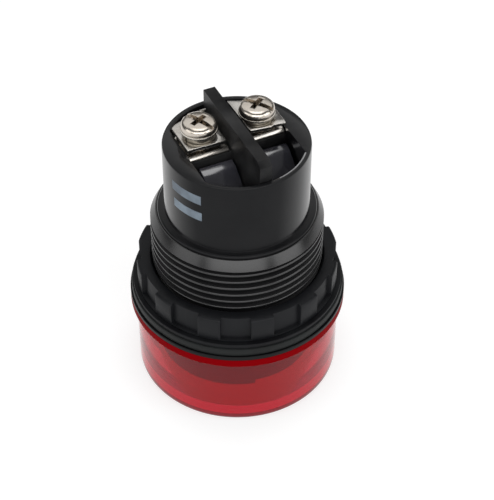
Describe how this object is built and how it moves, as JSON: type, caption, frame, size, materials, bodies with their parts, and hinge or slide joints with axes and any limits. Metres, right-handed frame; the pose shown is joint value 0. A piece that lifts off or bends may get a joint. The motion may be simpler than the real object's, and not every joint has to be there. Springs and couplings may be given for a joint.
{
  "type": "panel pilot light",
  "caption": "Round panel indicator lamp with a red translucent lens, threaded barrel, castellated ring nut and screw clamp terminals either side of a barrier.",
  "frame": {"origin": "centre of the lens face, on the plane it lies on", "axes": "+Z along the lamp's axis from the lens to the terminals, +Y along the barrier towards the end where the terminals are"},
  "size_m": [0.0384, 0.0384, 0.0535],
  "materials": {
    "red_lens": "gloss",
    "holder_plastic": "matte",
    "board": "satin",
    "led": "gloss",
    "capacitor_skin": "gloss",
    "resistor_skin": "satin",
    "chip_plastic": "matte",
    "tinned_wire": "satin",
    "barrel_plastic": "gloss",
    "gasket_rubber": "matte",
    "washer_plastic": "satin",
    "nut_plastic": "matte",
    "body_plastic": "satin",
    "block_plastic": "satin",
    "ramp_plastic": "gloss",
    "plate_nickel": "bright",
    "clamp_nickel": "bright",
    "spring_steel": "satin",
    "washer_nickel": "bright",
    "screw_nickel": "bright"
  },
  "bodies": {
    "pilot_light": {"lens_cap": "red_lens", "lamp_holder": "holder_plastic", "circuit_board": "board", "led_front": "led", "led_back": "led", "led_left": "led", "led_right": "led", "capacitor": "capacitor_skin", "dropper_resistor": "resistor_skin", "rectifier": "chip_plastic", "lead_pin_left": "tinned_wire", "lead_pin_right": "tinned_wire", "barrel": "barrel_plastic", "panel_gasket": "gasket_rubber", "rear_body": "body_plastic", "terminal_block": "block_plastic", "wire_ramp_left": "ramp_plastic", "wire_ramp_right": "ramp_plastic", "terminal_plate_left": "plate_nickel", "terminal_plate_right": "plate_nickel"},
    "nut_washer_body": {"nut_washer": "washer_plastic"},
    "ring_nut_body": {"ring_nut": "nut_plastic"},
    "clamp_left": {"clamp_plate_left": "clamp_nickel", "spring_washer_left": "spring_steel", "flat_washer_left": "washer_nickel"},
    "clamp_right": {"clamp_plate_right": "clamp_nickel", "spring_washer_right": "spring_steel", "flat_washer_right": "washer_nickel"},
    "screw_left": {"terminal_screw_left": "screw_nickel"},
    "screw_right": {"terminal_screw_right": "screw_nickel"}
  },
  "joints": [
    {"name": "nut_travel", "type": "slide", "parent": "pilot_light", "child": "nut_washer_body", "axis": [0, 0, 1], "range_m": [0, 0.00825]},
    {"name": "nut_turn", "type": "hinge", "parent": "nut_washer_body", "child": "ring_nut_body", "pos_m": [0, 0, 0.0198], "axis": [0, 0, 1], "range_deg": [-1, 1981]},
    {"name": "clamp_travel_left", "type": "slide", "parent": "pilot_light", "child": "clamp_left", "axis": [0, 0, 1], "range_m": [-0.00096, 0.0006]},
    {"name": "screw_turn_left", "type": "hinge", "parent": "clamp_left", "child": "screw_left", "pos_m": [-0.0053, 0.0034, 0.05005], "axis": [0, 0, 1], "range_deg": [-577, 361]},
    {"name": "clamp_travel_right", "type": "slide", "parent": "pilot_light", "child": "clamp_right", "axis": [0, 0, 1], "range_m": [-0.00096, 0.0006]},
    {"name": "screw_turn_right", "type": "hinge", "parent": "clamp_right", "child": "screw_right", "pos_m": [0.0053, 0.0034, 0.05005], "axis": [0, 0, 1], "range_deg": [-577, 361]}
  ],
  "couplings": [
    {"joint": "nut_turn", "follows": "nut_travel", "rad_per_m": 4188.8},
    {"joint": "screw_turn_left", "follows": "clamp_travel_left", "rad_per_m": 10472},
    {"joint": "screw_turn_right", "follows": "clamp_travel_right", "rad_per_m": 10472}
  ]
}
